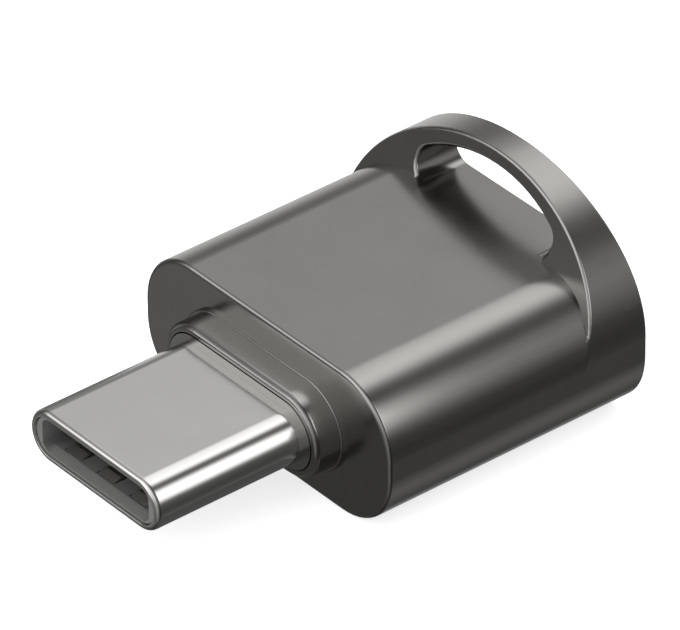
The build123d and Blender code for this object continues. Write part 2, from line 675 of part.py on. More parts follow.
# Card socket
def make_card_socket_base():
    base = span((-base_half, base_front, base_low), (base_half, board_end, board_low))
    low = shield_top + SHEET_GAP
    for side in (-1, 1):
        guide = Polyline((side * card_half, low), (side * (base_half - SHEET_BEND), low),
                         (side * base_half, low + SHEET_BEND), (side * base_half, base_low),
                         (side * card_half, base_low), close=True)
        base += along_y(make_face(guide), base_front, board_end)
    half = PAD_WIDTH / 2 + PAD_SLOT_GAP
    start = base_front + PAD_START - PAD_SLOT_GAP
    for x in row(PAD_COUNT, PAD_PITCH):
        base -= span((x - half, start, base_low), (x + half, pad_end + PAD_SLOT_GAP, board_low))
    return base


pad_end = base_front + PAD_START + PAD_TIP_RUN + PAD_BEAM_RUN + PAD_TAIL_RAMP + PAD_FOOT


def make_card_socket_contacts():
    tip = base_front + PAD_START
    bump = tip + PAD_TIP_RUN
    root = bump + PAD_BEAM_RUN
    foot = board_low - PAD_SHEET / 2
    side = strip([(tip, base_low - PAD_TIP_HEIGHT), (bump, base_low - PAD_BUMP),
                  (root, base_low + PAD_ROOT_HEIGHT), (root + PAD_TAIL_RAMP, foot),
                  (pad_end, foot)], PAD_SHEET)
    return [along_x(side, x, PAD_WIDTH) for x in row(PAD_COUNT, PAD_PITCH)]


def make_card_socket_shield():
    depth = board_low - shield_low
    outer = rounded(shield_half, shield_low, board_low + depth, SHEET_BEND + SOCKET_SHEET)
    inner = rounded(shield_half - SOCKET_SHEET, shield_top, board_low + depth, SHEET_BEND)
    below = Pos(0, shield_low + depth / 2) * Rectangle(2 * shield_half, depth)
    cover = along_y((outer - inner) & below, stop_front, board_end)
    cover += span((-STOP_WIDTH / 2, stop_front, shield_low),
                  (STOP_WIDTH / 2, stop_front + SOCKET_SHEET, shield_top + STOP_HEIGHT))
    for side in (-1, 1):
        middle = side * SHIELD_WINDOW_PLACE
        start = (stop_front + board_end - SHIELD_WINDOW_LENGTH) / 2
        cover -= span((middle - SHIELD_WINDOW_WIDTH / 2, start, shield_low),
                      (middle + SHIELD_WINDOW_WIDTH / 2, start + SHIELD_WINDOW_LENGTH, shield_top))
    return cover


def make_card_detect_spring():
    foot = board_low - PAD_SHEET / 2
    end = base_front - DETECT_GAP
    bend = end - DETECT_FOOT
    side = strip([(end, foot), (bend, foot), (bend - DETECT_RUN, foot - DETECT_REACH)], PAD_SHEET)
    return along_x(side, -DETECT_PLACE, DETECT_WIDTH)


upper_contacts = make_plug_contacts()
upper_spring = make_ground_spring()

NODES = {
    "housing": make_housing(),
    "rear_bezel": make_rear_bezel(),
    "plug_seal": make_plug_seal(),
    "plug_shell": make_plug_shell(),
    "plug_insulator": make_plug_insulator(),
    "plug_rear_block": make_plug_rear_block(),
    "plug_contacts_upper": upper_contacts,
    "plug_contacts_lower": [flipped(contact) for contact in upper_contacts],
    "plug_latch": make_plug_latch(),
    "ground_spring_upper": upper_spring,
    "ground_spring_lower": flipped(upper_spring),
    "circuit_board": make_circuit_board(),
    "controller_chip": make_controller_chip(),
    "controller_leads": make_controller_leads(),
    "crystal_base": make_crystal_base(),
    "crystal_lid": make_crystal_lid(),
    "regulator_body": make_regulator_body(),
    "regulator_leads": make_regulator_leads(),
    "capacitors": lane_parts(CAPACITOR_HEIGHT, CAPACITOR_STEPS),
    "resistors": lane_parts(RESISTOR_HEIGHT, RESISTOR_STEPS),
    "card_socket_base": make_card_socket_base(),
    "card_socket_shield": make_card_socket_shield(),
    "card_socket_contacts": make_card_socket_contacts(),
    "card_detect_spring": make_card_detect_spring(),
}

os.makedirs("parts", exist_ok=True)
for name, shape in NODES.items():
    solid = Compound(children=shape) if isinstance(shape, list) else shape
    export_step(solid, f"parts/{name}.step")
    print(name, len(solid.solids()), round(solid.volume, 2))
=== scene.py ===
# %% [markdown]
# Pocket memory card reader
#
# The object is a small die-cast case, 22 mm long, with a steel plug in front, a card slot behind and a
# loop for a keyring over its rear edge. Its pieces come in from the packed model at their real size, in
# metres. This lesson gives each of them its finish, rounds the edges that the light catches, and sets up
# the camera and the studio.

# %% Load the packed pieces
import math

import bpy
from mathutils import Matrix, Vector
from mathutils.kdtree import KDTree


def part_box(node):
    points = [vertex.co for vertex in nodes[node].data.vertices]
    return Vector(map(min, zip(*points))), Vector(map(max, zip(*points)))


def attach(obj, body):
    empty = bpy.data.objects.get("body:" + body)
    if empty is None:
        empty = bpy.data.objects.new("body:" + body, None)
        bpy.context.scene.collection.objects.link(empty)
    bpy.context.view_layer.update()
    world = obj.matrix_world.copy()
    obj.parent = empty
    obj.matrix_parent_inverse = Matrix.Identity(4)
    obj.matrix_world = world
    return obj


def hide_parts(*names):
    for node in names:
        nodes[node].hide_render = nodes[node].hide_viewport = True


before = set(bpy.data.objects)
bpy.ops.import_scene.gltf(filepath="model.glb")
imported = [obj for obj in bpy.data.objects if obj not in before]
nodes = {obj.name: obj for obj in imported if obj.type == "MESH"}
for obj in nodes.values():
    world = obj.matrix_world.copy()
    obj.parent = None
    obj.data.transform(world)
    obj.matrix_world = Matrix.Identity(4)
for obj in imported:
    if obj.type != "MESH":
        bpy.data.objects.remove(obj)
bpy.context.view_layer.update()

MM = 0.001

# %% [markdown]
# The camera
#
# The photograph was taken from the front right, a little above, with a very long lens, so that parallel
# edges stay almost parallel. A normal lens close by would splay them. The camera is aimed at a point on
# the middle of the case and then slid sideways, which places the object in the frame without any lens
# shift.

# %% Camera
AZIMUTH = math.radians(50.963)
ELEVATION = math.radians(34.6)
ROLL = math.radians(-0.564)
DISTANCE = 368.676 * MM
AIM = Vector((0.0, 5.625, 3.395)) * MM
SLIDE_RIGHT = -3.197 * MM
SLIDE_UP = 0.062 * MM
LENS = 479.9
SENSOR = 36.0


def make_camera():
    back = Vector((math.sin(AZIMUTH) * math.cos(ELEVATION), -math.cos(AZIMUTH) * math.cos(ELEVATION),
                   math.sin(ELEVATION)))
    level = Vector((math.cos(AZIMUTH), math.sin(AZIMUTH), 0.0))
    upright = back.cross(level)
    right = math.cos(ROLL) * level + math.sin(ROLL) * upright
    up = math.cos(ROLL) * upright - math.sin(ROLL) * level
    data = bpy.data.cameras.new("camera")
    data.lens = LENS
    data.sensor_width = SENSOR
    data.clip_start = DISTANCE / 100
    data.clip_end = DISTANCE * 100
    camera = bpy.data.objects.new("camera", data)
    place = AIM + back * DISTANCE + right * SLIDE_RIGHT + up * SLIDE_UP
    turn = Matrix((right, up, back)).transposed().to_4x4()
    camera.matrix_world = Matrix.Translation(place) @ turn
    bpy.context.scene.collection.objects.link(camera)
    bpy.context.scene.camera = camera
    return camera


camera = make_camera()
print("camera at mm", [round(v / MM, 1) for v in camera.location])

# %% [markdown]
# Shader maths
#
# Finishes need sums such as one minus a mask. Drawing a Math node for each of them by hand hides the sum,
# so this small class wraps a node's socket and lets Python's own operators add the nodes. One method
# makes every other node: it takes the node's type, the settings that have to come first, and what goes
# into its sockets.

# %% A socket that can be added and multiplied
class Signal:
    def __init__(self, socket):
        self.socket = socket
        self.tree = socket.id_data

    def node(self, kind, settings=None, sockets=None, output=0):
        return Signal(add_node(self.tree, kind, settings, sockets).outputs[output])

    def maths(self, operation, first, second=None):
        sockets = {0: first} if second is None else {0: first, 1: second}
        return self.node("ShaderNodeMath", {"operation": operation}, sockets)

    def __add__(self, other):
        return self.maths("ADD", self, other)

    def __radd__(self, other):
        return self.maths("ADD", other, self)

    def __sub__(self, other):
        return self.maths("SUBTRACT", self, other)

    def __rsub__(self, other):
        return self.maths("SUBTRACT", other, self)

    def __mul__(self, other):
        return self.maths("MULTIPLY", self, other)

    def __rmul__(self, other):
        return self.maths("MULTIPLY", other, self)

    def __truediv__(self, other):
        return self.maths("DIVIDE", self, other)

    def __rtruediv__(self, other):
        return self.maths("DIVIDE", other, self)


def add_node(tree, kind, settings=None, sockets=None):
    made = tree.nodes.new(kind)
    for name, value in (settings or {}).items():
        if name == "stops":
            set_stops(made.color_ramp, value)
        else:
            setattr(made, name, value)
    for key, value in (sockets or {}).items():
        if isinstance(value, Signal):
            tree.links.new(value.socket, made.inputs[key])
        else:
            made.inputs[key].default_value = value
    return made


def set_stops(ramp, stops):
    ramp.interpolation = "EASE"
    while len(ramp.elements) < len(stops):
        ramp.elements.new(0.5)
    for element, (place, value) in zip(ramp.elements, sorted(stops.items())):
        element.position = place
        element.color = (value, value, value, 1.0)


print("operators", [name for name in vars(Signal) if name.endswith(("add__", "sub__", "mul__", "div__"))])

# %% [markdown]
# The studio
#
# A metal piece looks like what it reflects. Here that is a tent with long soft strips of light that run
# along the case: a broad one overhead, a weak one low at the right, and a bright panel in front. Lamps
# could do it, but a sky that depends only on direction keeps the strips straight on such a small thing.
# Two ramps over the angle round the case hold the strips behind and in front of it, a third one blends
# them, and a fourth one dims the gap between the two, which draws the dark lines along the eased edges.

# %% The tent of light strips
REAR_STRIPS = {  # brightness by the angle round the case, from straight up towards the right, in degrees
    -180: 0.14, -168: 0.10, -150: 0.35, -126: 0.80, -100: 0.78, -88: 0.72, -78: 0.46, -68: 0.29, -60: 0.31,
    -49: 0.66, -38: 1.32, -28: 1.55, -15: 1.65, -5: 1.30, 3: 0.66, 11: 0.25, 20: 0.16, 28: 0.21, 40: 0.40,
    54: 0.48, 70: 0.38, 82: 0.23, 95: 0.11, 115: 0.08, 131: 0.10, 141: 0.19, 157: 0.27, 172: 0.20, 180: 0.14,
}
FRONT_STRIPS = {
    -180: 0.14, -150: 0.22, -131: 0.28, -118: 0.20, -103: 0.18, -88: 0.14, -75: 0.30, -62: 0.90, -51: 1.90,
    -38: 1.90, -10: 1.50, 20: 1.20, 50: 1.00, 70: 0.70, 100: 0.40, 140: 0.30, 180: 0.14,
}
# Share of the front strips, and brightness of all strips, by a ray's part along Y: -1 is straight forward
FRONT_SHARE = {-1.0: 1.0, -0.45: 1.0, -0.20: 0.6, 0.05: 0.0, 1.0: 0.0}
TENT_GAP = {-1.0: 1.0, -0.50: 1.0, -0.43: 0.65, -0.33: 0.35, -0.24: 0.34, -0.05: 0.34, 0.15: 0.38, 0.30: 0.7,
            0.40: 1.0, 0.8: 0.95, 1.0: 0.7}


def ramp(signal, stops, low, high):
    """Value that follows the stops while the signal goes from low to high."""
    share = (signal - low) / (high - low)
    placed = {(place - low) / (high - low): value for place, value in stops.items()}
    return signal.node("ShaderNodeValToRGB", {"stops": placed}, {0: share})


def make_tent():
    world = bpy.data.worlds.new("light_tent")
    world.use_nodes = True
    tree = world.node_tree
    tree.nodes.clear()
    direction = Signal(add_node(tree, "ShaderNodeTexCoord").outputs["Generated"])
    parts = add_node(tree, "ShaderNodeSeparateXYZ", None, {0: direction})
    x, y, z = (Signal(socket) for socket in parts.outputs)
    turn = x.maths("ARCTAN2", x, z) * (180 / math.pi)
    behind = ramp(turn, REAR_STRIPS, -180, 180)
    ahead = ramp(turn, FRONT_STRIPS, -180, 180)
    share = ramp(y, FRONT_SHARE, -1, 1)
    glow = (behind + (ahead - behind) * share) * ramp(y, TENT_GAP, -1, 1)
    sockets = {"Color": (1.0, 1.0, 1.0, 1.0), "Strength": glow}
    background = add_node(tree, "ShaderNodeBackground", None, sockets)
    out = add_node(tree, "ShaderNodeOutputWorld")
    tree.links.new(background.outputs[0], out.inputs["Surface"])
    bpy.context.scene.world = world
    return world


make_tent()
print("strips", len(REAR_STRIPS), len(FRONT_STRIPS))

# %% [markdown]
# The floor
#
# The object stands on a light table, a plain pale sheet that glows a little, so its shadow stays soft and
# thin. It is kept out of the metal's reflections, as a black card under the product would keep it out in
# a real studio.

# %% The light table
FLOOR_HALF = 0.6
TABLE_WHITE = (0.92, 0.92, 0.92, 1.0)
TABLE_GLOW = 0.80
TABLE_ROUGHNESS = 0.9


def plane(name, corners):
    mesh = bpy.data.meshes.new(name)
    mesh.from_pydata(corners, [], [(0, 1, 2, 3)])
    made = bpy.data.objects.new(name, mesh)
    bpy.context.scene.collection.objects.link(made)
    return made


def make_table():
    corners = [(x * FLOOR_HALF, y * FLOOR_HALF, 0.0) for x, y in ((-1, -1), (1, -1), (1, 1), (-1, 1))]
    table = plane("light_table", corners)
    table.visible_glossy = False
    sheet = bpy.data.materials.new("table_sheet")
    sheet.use_nodes = True
    shader = sheet.node_tree.nodes["Principled BSDF"]
    shader.inputs["Base Color"].default_value = TABLE_WHITE
    shader.inputs["Roughness"].default_value = TABLE_ROUGHNESS
    shader.inputs["Emission Color"].default_value = TABLE_WHITE
    shader.inputs["Emission Strength"].default_value = TABLE_GLOW
    table.data.materials.append(sheet)
    return table


make_table()
print("table half width m", FLOOR_HALF)

# %% The lamp over the table
LAMP_STRENGTH = 1.1
LAMP_SPREAD = math.radians(90)


def make_lamp():
    data = bpy.data.lights.new("overhead_lamp", "SUN")
    data.energy = LAMP_STRENGTH
    data.angle = LAMP_SPREAD
    lamp = bpy.data.objects.new("overhead_lamp", data)
    lamp.visible_glossy = False
    bpy.context.scene.collection.objects.link(lamp)
    return lamp


lamp = make_lamp()
bpy.context.scene.view_settings.view_transform = "Standard"
print(lamp.name, "spread in degrees", round(math.degrees(LAMP_SPREAD)))

# %% [markdown]
# Cards beside the plug
#
# The plug shows two clear highlights that the case behind it does not, and a darker left side. A
# photographer gets them with white cards and a dark one that stand close by and end where the case would
# start to see them. A white card glows most along its middle and fades towards its long edges, so that
# the highlights have soft borders. A second dim sheet lies under the plug, seen only in reflections, where
# the floor would lie in the plug's shadow. It is a painted shadow: it paints that shade into the lower right
# of the case's front.

# %% White cards
CARD_AWAY = 40 * MM
CARD_FRONT = 5 * MM
WHITE_REAR = 19.5 * MM
WHITE_CARDS = {54: (24 * MM, 2.0), 0: (11 * MM, 0.75)}  # angle round the plug: half width and glow
PLUG_AXIS = 3.4 * MM
PLUG_ROUND = 2.9 * MM  # middle of the plug's rounded side


def place_card(name, corners):
    card = plane(name, corners)
    card.visible_camera = False
    card.visible_diffuse = False
    card.visible_shadow = False
    paper = bpy.data.materials.new(name)
    paper.use_nodes = True
    paper.node_tree.nodes.clear()
    card.data.materials.append(paper)
    return paper.node_tree


def card_beside_plug(name, angle, half_width, rear):
    turn = math.radians(angle)
    outward = Vector((math.sin(turn), 0.0, math.cos(turn)))
    across = Vector((math.cos(turn), 0.0, -math.sin(turn)))
    middle = Vector((math.copysign(PLUG_ROUND, angle), 0.0, PLUG_AXIS)) + outward * CARD_AWAY
    corners = [middle + across * half_width * side + Vector((0.0, y, 0.0))
               for side, y in ((-1, CARD_FRONT), (1, CARD_FRONT), (1, rear), (-1, rear))]
    return place_card(name, corners), middle, across


def white_card(angle, half_width, strength):
    tree, middle, across = card_beside_plug("white_card_%d" % angle, angle, half_width, WHITE_REAR)
    place = Signal(add_node(tree, "ShaderNodeTexCoord").outputs["Object"])
    off = place.node("ShaderNodeVectorMath", {"operation": "SUBTRACT"}, {0: place, 1: middle})
    along = place.node("ShaderNodeVectorMath", {"operation": "DOT_PRODUCT"}, {0: off, 1: across}, output=1)
    side = along / half_width
    bell = 1.0 - side * side
    glow = Signal(add_node(tree, "ShaderNodeEmission", None, {"Strength": bell * bell * strength}).outputs[0])
    clear = Signal(add_node(tree, "ShaderNodeBsdfTransparent").outputs[0])
    both = glow.node("ShaderNodeAddShader", None, {0: glow, 1: clear})
    add_node(tree, "ShaderNodeOutputMaterial", None, {"Surface": both})


for angle, (half_width, strength) in WHITE_CARDS.items():
    white_card(angle, half_width, strength)
print("white cards", len(WHITE_CARDS))

# %% Dark cards
DARK_REAR = 16 * MM
DARK_CARDS = {-104: (24 * MM, 0.22)}
# The sheet under the plug is a painted shadow: a dim glow seen only in reflections, in place of the shaded
# floor
SHADOW_SHEET_X = (0.0, 7.0 * MM)
SHADOW_SHEET_Y = (-11.0 * MM, -2.4 * MM)
SHADOW_SHEET_HEIGHT = 0.02 * MM
PAINTED_SHADOW_GLOW = 0.10


def dark_face(tree, strength):
    glow = Signal(add_node(tree, "ShaderNodeEmission", None, {"Strength": strength}).outputs[0])
    add_node(tree, "ShaderNodeOutputMaterial", None, {"Surface": glow})


for angle, (half_width, strength) in DARK_CARDS.items():
    dark_face(card_beside_plug("dark_card_%d" % -angle, angle, half_width, DARK_REAR)[0], strength)
# Painted shadow under the plug, seen only by the metal's reflections
painted_shadow_corners = [(SHADOW_SHEET_X[i], SHADOW_SHEET_Y[j], SHADOW_SHEET_HEIGHT) for i, j in ((0, 0), (1, 0), (1, 1), (0, 1))]
dark_face(place_card("painted_shadow_card", painted_shadow_corners), PAINTED_SHADOW_GLOW)
print("dark cards", len(DARK_CARDS) + 1)

# %% [markdown]
# Finishes
#
# Every finish starts the same way: a Principled shader, and the Object coordinates, which are metres from
# the origin of the part, so a pattern keeps its real scale on every piece. Noise at two scales gives what
# the eye expects of a real surface: a slow mottling of colour and gloss, and a fine grain that only shows
# in the highlights.

# %% A finish to start from
def new_finish(name, settings):
    material = bpy.data.materials.new(name)
    material.use_nodes = True
    tree = material.node_tree
    tree.nodes.clear()
    shader = add_node(tree, "ShaderNodeBsdfPrincipled", None, settings)
    out = add_node(tree, "ShaderNodeOutputMaterial")
    tree.links.new(shader.outputs[0], out.inputs["Surface"])
    place = Signal(add_node(tree, "ShaderNodeTexCoord").outputs["Object"])
    return material, shader, place


def feed(shader, socket, signal):
    signal.tree.links.new(signal.socket, shader.inputs[socket])


def noise(place, size, detail=2.0, stretch=(1.0, 1.0, 1.0)):
    scaled = place.node("ShaderNodeMapping", None, {"Vector": place, "Scale": stretch})
    return place.node("ShaderNodeTexNoise", None, {"Vector": scaled, "Scale": 1.0 / size, "Detail": detail})


def blend_colours(place, share, first, second):
    sockets = {"Factor": share, 6: (*first, 1.0), 7: (*second, 1.0)}
    return place.node("ShaderNodeMix", {"data_type": "RGBA"}, sockets, output=2)


def grain(shader, height, depth):
    bump = height.node("ShaderNodeBump", None, {"Strength": 1.0, "Distance": depth, "Height": height})
    feed(shader, "Normal", bump)


print("pattern units to a mm", MM)

# %% [markdown]
# Gunmetal plating on the case
#
# The zinc casting is polished, plated dark grey and lacquered to a satin sheen. Its reflections are
# blurred but still show where each strip of light ends. The plating is slightly warm and very even, so
# the mottling stays within a few parts in a hundred.

# %% Gunmetal
GUNMETAL = (0.325, 0.318, 0.305)
GUNMETAL_DARK = (0.295, 0.288, 0.277)
GUNMETAL_GLOSS = 0.20
MOTTLE = 2.4 * MM
MOTTLE_GLOSS = 0.04
CASTING_GRAIN = 0.06 * MM
CASTING_GRAIN_GLOSS = 0.03
CASTING_GRAIN_DEPTH = 0.0003 * MM


def make_gunmetal():
    material, shader, place = new_finish("gunmetal_plating", {"Metallic": 1.0})
    mottle = noise(place, MOTTLE)
    fine = noise(place, CASTING_GRAIN)
    feed(shader, "Base Color", blend_colours(place, mottle, GUNMETAL_DARK, GUNMETAL))
    uneven = MOTTLE_GLOSS * (mottle - 0.5)
    feed(shader, "Roughness", GUNMETAL_GLOSS + uneven + CASTING_GRAIN_GLOSS * (fine - 0.5))
    grain(shader, fine, CASTING_GRAIN_DEPTH)
    return material


gunmetal = make_gunmetal()
print(gunmetal.name, len(gunmetal.node_tree.nodes), "nodes")

# %% [markdown]
# Steel of the plug, and of the springs
#
# The plug's shell is drawn from stainless sheet, which leaves faint streaks along the draw. Stretching a
# noise along Y gives them. The springs are stamped from the same kind of strip with a duller face.

# %% Drawn and stamped steel
STEEL = (0.63, 0.625, 0.61)
STEEL_DARK = (0.55, 0.545, 0.535)
DRAW_STREAK = 0.05 * MM
DRAW_STRETCH = (1.0, 0.03, 1.0)
STREAK_DEPTH = 0.0004 * MM


def make_steel(name, gloss, streak_gloss):
    material, shader, place = new_finish(name, {"Metallic": 1.0})
    cloud = noise(place, MOTTLE)
    streak = noise(place, DRAW_STREAK, detail=3.0, stretch=DRAW_STRETCH)
    feed(shader, "Base Color", blend_colours(place, cloud * 0.5 + streak * 0.5, STEEL_DARK, STEEL))
    feed(shader, "Roughness", gloss + streak_gloss * (streak - 0.5))
    grain(shader, streak, STREAK_DEPTH)
    return material


plug_steel = make_steel("drawn_steel", gloss=0.15, streak_gloss=0.08)
spring_steel = make_steel("stamped_steel", gloss=0.30, streak_gloss=0.10)
print(plug_steel.name, spring_steel.name)

# %% [markdown]
# Gold flash, tin and the plated seal
#
# Contacts are copper alloy strip with a gold flash, leads are dipped in tin, and the ring that seals the
# plug into the collar has a grey plating a shade lighter than the case. All three are thin soft coats
# with a slightly uneven skin, so one recipe with other colours makes them.

# %% Plated contacts, leads and seal
SKIN = 0.35 * MM
SKIN_GLOSS = 0.12
SKIN_GRAIN = 0.03 * MM
SKIN_GRAIN_DEPTH = 0.0005 * MM


def make_plating(name, light, dark, gloss):
    material, shader, place = new_finish(name, {"Metallic": 1.0})
    skin = noise(place, SKIN, detail=3.0)
    feed(shader, "Base Color", blend_colours(place, skin, dark, light))
    feed(shader, "Roughness", gloss + SKIN_GLOSS * (skin - 0.5))
    grain(shader, noise(place, SKIN_GRAIN), SKIN_GRAIN_DEPTH)
    return material


gold = make_plating("gold_flash", light=(0.90, 0.68, 0.30), dark=(0.74, 0.52, 0.20), gloss=0.24)
tin = make_plating("dipped_tin", light=(0.74, 0.74, 0.72), dark=(0.60, 0.60, 0.59), gloss=0.34)
seal_plating = make_plating("plated_seal", light=(0.42, 0.415, 0.40), dark=(0.37, 0.365, 0.35), gloss=0.22)
print(gold.name, tin.name, seal_plating.name)

# %% [markdown]
# Mouldings
#
# The plug's insulator is moulded in grey nylon. The bezel, the card guides and the block behind the plug
# are black nylon with glass in it. The tool's spark-eroded face leaves a fine matte grain on all of them.
# The chips are cast in an epoxy that is duller still.

# %% Grey and black plastic, and chip epoxy
CLOUD = 0.9 * MM
PIT_SHARE = 0.4
PIT_GLOSS = 0.14


def make_moulding(name, light, dark, gloss, pit, depth):
    material, shader, place = new_finish(name, {"Metallic": 0.0})
    cloud = noise(place, CLOUD)
    pits = noise(place, pit, detail=3.0)
    mixed = cloud * (1.0 - PIT_SHARE) + pits * PIT_SHARE
    feed(shader, "Base Color", blend_colours(place, mixed, dark, light))
    feed(shader, "Roughness", gloss + PIT_GLOSS * (pits - 0.5))
    grain(shader, pits, depth)
    return material


grey_moulding = make_moulding("grey_moulding", light=(0.165, 0.163, 0.16), dark=(0.125, 0.124, 0.122),
                              gloss=0.36, pit=0.08 * MM, depth=0.002 * MM)
moulding = make_moulding("black_moulding", light=(0.040, 0.039, 0.038), dark=(0.022, 0.022, 0.022),
                         gloss=0.48, pit=0.06 * MM, depth=0.004 * MM)
epoxy = make_moulding("cast_epoxy", light=(0.034, 0.034, 0.036), dark=(0.018, 0.018, 0.020),
                      gloss=0.62, pit=0.04 * MM, depth=0.005 * MM)
print(grey_moulding.name, moulding.name, epoxy.name)

# %% [markdown]
# Board, ceramic and film
#
# The board is glass-fibre laminate under green solder resist, with copper tracks that show through as
# slightly lighter lines. The joints of a brick pattern are enough for tracks that nobody sees without a
# saw. The small parts are fired ceramic with a chalky bloom, and the resistors have a dark film over it.

# %% Board, ceramic and film
TRACK_PITCH = 0.5 * MM
TRACK_WIDTH = 0.09 * MM
TRACK_HEIGHT = 0.004 * MM
WEAVE = 0.25 * MM
WEAVE_GLOSS = 0.12
WEAVE_HEIGHT = 0.2  # as a share of a track's
RESIST_GLOSS = 0.30
RESIST = (0.016, 0.13, 0.055)
RESIST_ON_TRACK = (0.035, 0.20, 0.085)


def make_board():
    material, shader, place = new_finish("solder_resist", {"Metallic": 0.0})
    settings = {"offset": 0.5, "offset_frequency": 2}
    tracks = place.node("ShaderNodeTexBrick", settings, {
        "Vector": place, "Scale": 1.0, "Mortar Size": TRACK_WIDTH, "Mortar Smooth": 0.3,
        "Brick Width": 6 * TRACK_PITCH, "Row Height": TRACK_PITCH}, output=1)
    weave = noise(place, WEAVE)
    feed(shader, "Base Color", blend_colours(place, tracks, RESIST, RESIST_ON_TRACK))
    feed(shader, "Roughness", RESIST_GLOSS + WEAVE_GLOSS * (weave - 0.5))
    grain(shader, tracks + WEAVE_HEIGHT * weave, TRACK_HEIGHT)
    return material


board = make_board()
ceramic = make_moulding("fired_ceramic", light=(0.60, 0.49, 0.37), dark=(0.48, 0.39, 0.29),
                        gloss=0.55, pit=0.05 * MM, depth=0.002 * MM)
film = make_moulding("dark_film", light=(0.060, 0.060, 0.066), dark=(0.038, 0.038, 0.042),
                     gloss=0.38, pit=0.05 * MM, depth=0.001 * MM)
print(board.name, ceramic.name, film.name)

# %% [markdown]
# Dressing the outer pieces
#
# The packed model keeps each face of the construction as its own patch of triangles. Left like that, every
# bevel shows as a hard strip. A Bevel modifier would round them again, but the patches already know more: a
# narrow patch that leans forward or back is an eased edge, and every other patch is a true face. So the
# copy is welded, each true face keeps its own normals, and each eased edge takes the normals of the faces
# on both sides of it. The light then rolls over the edge as over a small round, and flat faces stay flat.

# %% Points that lie on one spot
WELD = 0.0005 * MM


def group_roots(count, groups):
    """For each of count items, the one that stands for the group it is in."""
    parent = list(range(count))

    def root(i):
        while parent[i] != i:
            parent[i] = parent[parent[i]]
            i = parent[i]
        return i

    for first, *rest in groups:
        for other in rest:
            parent[root(other)] = root(first)
    return [root(i) for i in range(count)]


def weld_groups(points):
    tree = KDTree(len(points))
    for i, point in enumerate(points):
        tree.insert(point, i)
    tree.balance()
    close = [[i] + [hit[1] for hit in tree.find_range(point, WELD)] for i, point in enumerate(points)]
    return group_roots(len(points), close)


case_points = [vertex.co for vertex in nodes["housing"].data.vertices]
print("points of the case", len(case_points), "on spots", len(set(weld_groups(case_points))))

# %% True faces and eased edges
NARROW = 0.36 * MM
LEANING = (0.1, 0.99)  # share of a normal that points along Y, on an eased edge
FLAT = math.cos(math.radians(0.3))


class Patch:
    def __init__(self):
        self.area = 0.0
        self.normals = []
        self.rim = {}

    def add(self, polygon, points):
        self.area += polygon.area
        self.normals.append(polygon.normal)
        corners = list(polygon.vertices)
        for a, b in zip(corners, corners[1:] + corners[:1]):
            key = frozenset((a, b))
            self.rim[key] = 0.0 if key in self.rim else (points[a] - points[b]).length

    def finish(self):
        self.width = 2 * self.area / max(sum(self.rim.values()), WELD)
        self.flat = all(normal.dot(self.normals[0]) > FLAT for normal in self.normals)
        leans = any(LEANING[0] < abs(normal.y) < LEANING[1] for normal in self.normals)
        self.eased = leans and self.width < NARROW


def read_patches(mesh):
    """Points of a packed mesh, with the patch and the plain normal of each."""
    points = [vertex.co.copy() for vertex in mesh.vertices]
    patch_of = group_roots(len(points), [list(polygon.vertices) for polygon in mesh.polygons])
    patches = {}
    plain = [Vector() for _ in points]
    for polygon in mesh.polygons:
        patches.setdefault(patch_of[polygon.vertices[0]], Patch()).add(polygon, points)
        corners = list(polygon.vertices)
        for k, i in enumerate(corners):
            before, after = points[corners[k - 1]], points[corners[(k + 1) % len(corners)]]
            plain[i] += polygon.normal * (before - points[i]).angle(after - points[i], 0.0)
    for patch in patches.values():
        patch.finish()
    return points, [patches[root] for root in patch_of], [normal.normalized() for normal in plain]


case_points, case_patch_at, case_plain = read_patches(nodes["housing"].data)
case_patches = set(case_patch_at)
print("patches of the case", len(case_patches), "eased edges", sum(patch.eased for patch in case_patches))

# %% Normals that roll over the eased edges
ROLL_LIMIT = math.cos(math.radians(60))
TANGENT = math.cos(math.radians(14))


def roll_normals(welded, patch_at, plain):
    """Normals that are true on the faces and roll over the eased edges between them."""
    shared = {}
    for i, spot in enumerate(welded):
        shared.setdefault(spot, []).append(i)
    rolled = []
    for i, spot in enumerate(welded):
        others = [j for j in shared[spot] if not patch_at[j].eased]
        if patch_at[i].eased:
            near = [j for j in others if plain[j].dot(plain[i]) > ROLL_LIMIT]
            widest = max(near, key=lambda j: patch_at[j].area, default=i)
            rolled.append(plain[widest])
            continue
        near = [j for j in others if plain[j].dot(plain[i]) > TANGENT]
        flat = [j for j in near if patch_at[j].flat]
        chosen = flat or near or [i]
        rolled.append(sum((plain[j] for j in chosen), Vector()).normalized())
    return rolled


case_rolled = roll_normals(weld_groups(case_points), case_patch_at, case_plain)
turned = sum(before.dot(after) < FLAT for before, after in zip(case_plain, case_rolled))
print("normals of the case that turned", turned, "of", len(case_rolled))


# %% A welded copy in place of a packed piece
def dressed(node, name, finish, slot):
    """Welded copy of a packed piece, with rolled edges, in place of it."""
    source = nodes[node].data
    points, patch_at, plain = read_patches(source)
    welded = weld_groups(points)
    normals = roll_normals(welded, patch_at, plain)
    spots = sorted(set(welded))
    index = {spot: k for k, spot in enumerate(spots)}
    faces, corner_normals = [], []
    for polygon in source.polygons:
        face = [index[welded[i]] for i in polygon.vertices]
        if len(set(face)) == len(face):
            faces.append(face)
            corner_normals += [normals[i] for i in polygon.vertices]
    mesh = bpy.data.meshes.new(name)
    mesh.from_pydata([points[spot] for spot in spots], [], faces)
    mesh.shade_smooth()
    mesh.normals_split_custom_set(corner_normals)
    return place_piece(mesh, name, finish, slot, node)


def place_piece(mesh, name, finish, slot, *replaced):
    if finish.name not in mesh.materials:
        mesh.materials.append(finish)
    piece = bpy.data.objects.new(name, mesh)
    bpy.context.scene.collection.objects.link(piece)
    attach(piece, "root")
    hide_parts(*replaced)
    print(name, "triangles", sum(len(p.vertices) - 2 for p in mesh.polygons))
    return piece


